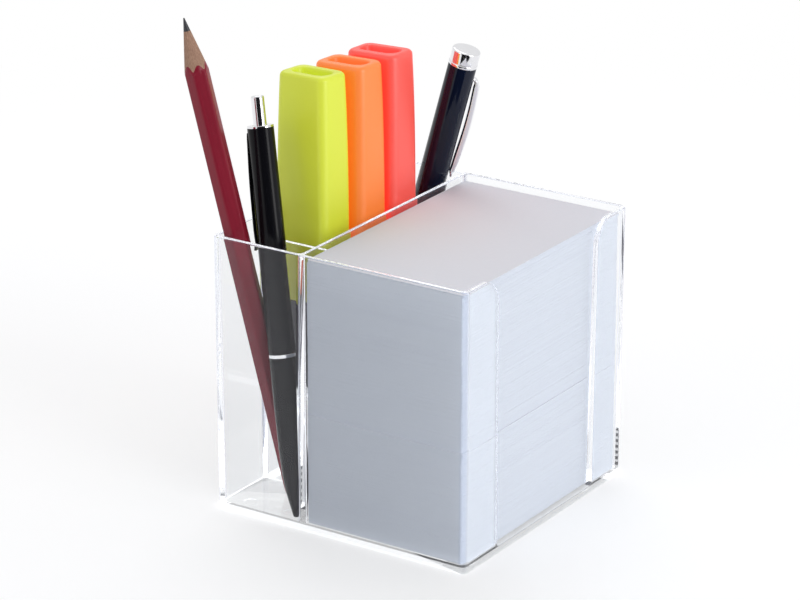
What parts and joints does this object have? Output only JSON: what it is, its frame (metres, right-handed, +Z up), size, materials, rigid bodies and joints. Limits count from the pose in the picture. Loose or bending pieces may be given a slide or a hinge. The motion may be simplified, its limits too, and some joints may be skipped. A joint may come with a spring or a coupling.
{
  "type": "desk memo and pen holder",
  "caption": "Clear moulded desk holder with a paper well, finger cut-out and two pen wells, loaded with loose memo paper, a pencil, pens and highlighters.",
  "frame": {"origin": "centre of the holder's footprint on its underside", "axes": "+Z up; +X towards the wall with the finger cut-out; -Y towards the front wall beside the front pen well"},
  "size_m": [0.0994, 0.1035, 0.1636],
  "materials": {
    "clear_styrene": "clear, polished",
    "white_paper": "matt white paper edges",
    "graphite": "dark grey, slight sheen",
    "cedar": "freshly cut",
    "crimson_lacquer": "gloss lacquer",
    "black_gloss": "gloss",
    "black_satin": "satin",
    "navy_gloss": "gloss",
    "bright_chrome": "polished",
    "spring_steel": "drawn wire",
    "refill_plastic": "translucent, satin",
    "point_brass": "turned",
    "white_plastic": "satin",
    "lime_plastic": "gloss",
    "orange_plastic": "gloss",
    "coral_plastic": "gloss",
    "lime_felt": "soaked felt",
    "orange_felt": "soaked felt",
    "coral_felt": "soaked felt"
  },
  "bodies": {
    "holder": {"holder": "clear_styrene"},
    "paper_stack": {"paper_lower_pack": "white_paper", "paper_middle_leaves": "white_paper", "paper_upper_pack": "white_paper"},
    "top_leaves": {"paper_top_leaves": "white_paper"},
    "pencil": {"pencil_lead": "graphite", "pencil_wood": "cedar", "pencil_lacquer": "crimson_lacquer"},
    "ballpoint": {"ballpoint_lower_barrel": "black_gloss", "ballpoint_ring": "bright_chrome", "ballpoint_upper_barrel": "black_gloss", "ballpoint_collar": "bright_chrome", "ballpoint_clip": "black_gloss"},
    "ballpoint_button": {"ballpoint_button": "bright_chrome"},
    "ballpoint_refill": {"ballpoint_thrust_tube": "white_plastic", "ballpoint_refill_tube": "refill_plastic", "ballpoint_refill_point": "point_brass", "ballpoint_spring": "spring_steel"},
    "twistpen": {"twistpen_spindle": "point_brass", "twistpen_ring": "bright_chrome", "twistpen_upper_barrel": "navy_gloss", "twistpen_crown": "bright_chrome", "twistpen_clip": "bright_chrome"},
    "twistpen_lower": {"twistpen_lower_barrel": "navy_gloss"},
    "twistpen_refill": {"twistpen_refill": "point_brass"},
    "green_cap": {"green_cap": "black_satin"},
    "green_highlighter": {"green_body": "lime_plastic", "green_neck": "black_satin", "green_nib": "lime_felt", "green_ink": "lime_felt"},
    "orange_cap": {"orange_cap": "black_satin"},
    "orange_highlighter": {"orange_body": "orange_plastic", "orange_neck": "black_satin", "orange_nib": "orange_felt", "orange_ink": "orange_felt"},
    "coral_cap": {"coral_cap": "black_satin"},
    "coral_highlighter": {"coral_body": "coral_plastic", "coral_neck": "black_satin", "coral_nib": "coral_felt", "coral_ink": "coral_felt"}
  },
  "joints": [
    {"name": "paper_lift", "type": "slide", "parent": "holder", "child": "paper_stack", "axis": [0, 0, 1], "range_m": [0, 0.008]},
    {"name": "top_leaves_fold", "type": "hinge", "parent": "paper_stack", "child": "top_leaves", "pos_m": [-0.0126, 0, 0.0904], "axis": [0, -1, 0], "range_deg": [0, 60]},
    {"name": "pencil_out", "type": "slide", "parent": "holder", "child": "pencil", "axis": [-0.1314, -0.1668, 0.9772], "range_m": [0, 0.097]},
    {"name": "ballpoint_out", "type": "slide", "parent": "holder", "child": "ballpoint", "axis": [-0.1942, 0.1176, 0.9739], "range_m": [0, 0.097]},
    {"name": "ballpoint_click", "type": "slide", "parent": "ballpoint", "child": "ballpoint_button", "axis": [0.1942, -0.1176, -0.9739], "range_m": [0, 0.0042], "stiffness_N_per_m": 250, "springref_m": -0.002},
    {"name": "ballpoint_refill_travel", "type": "slide", "parent": "ballpoint", "child": "ballpoint_refill", "axis": [0.1942, -0.1176, -0.9739], "range_m": [0, 0.0042], "deforming": ["ballpoint_spring"]},
    {"name": "green_out", "type": "slide", "parent": "holder", "child": "green_cap", "axis": [-0.03, 0.0449, 0.9985], "range_m": [0, 0.065]},
    {"name": "green_uncap", "type": "slide", "parent": "green_cap", "child": "green_highlighter", "axis": [-0.03, 0.0449, 0.9985], "range_m": [0, 0.034]},
    {"name": "orange_out", "type": "slide", "parent": "holder", "child": "orange_cap", "axis": [-0.03, 0.0449, 0.9985], "range_m": [0, 0.065]},
    {"name": "orange_uncap", "type": "slide", "parent": "orange_cap", "child": "orange_highlighter", "axis": [-0.03, 0.0449, 0.9985], "range_m": [0, 0.034]},
    {"name": "coral_out", "type": "slide", "parent": "holder", "child": "coral_cap", "axis": [-0.03, 0.0449, 0.9985], "range_m": [0, 0.065]},
    {"name": "coral_uncap", "type": "slide", "parent": "coral_cap", "child": "coral_highlighter", "axis": [-0.03, 0.0449, 0.9985], "range_m": [0, 0.034]},
    {"name": "twistpen_out", "type": "slide", "parent": "holder", "child": "twistpen", "axis": [0.2507, 0.0425, 0.9671], "range_m": [0, 0.066]},
    {"name": "twistpen_twist", "type": "hinge", "parent": "twistpen", "child": "twistpen_lower", "pos_m": [-0.0355, 0.03585, 0.0355], "axis": [0.2507, 0.0425, 0.9671], "range_deg": [0, 180]},
    {"name": "twistpen_refill_travel", "type": "slide", "parent": "twistpen", "child": "twistpen_refill", "axis": [-0.2507, -0.0425, -0.9671], "range_m": [0, 0.0033]}
  ],
  "couplings": [
    {"joint": "ballpoint_refill_travel", "follows": "ballpoint_click", "ratio": 1},
    {"joint": "twistpen_twist", "follows": "twistpen_refill_travel", "rad_per_m": 952}
  ]
}
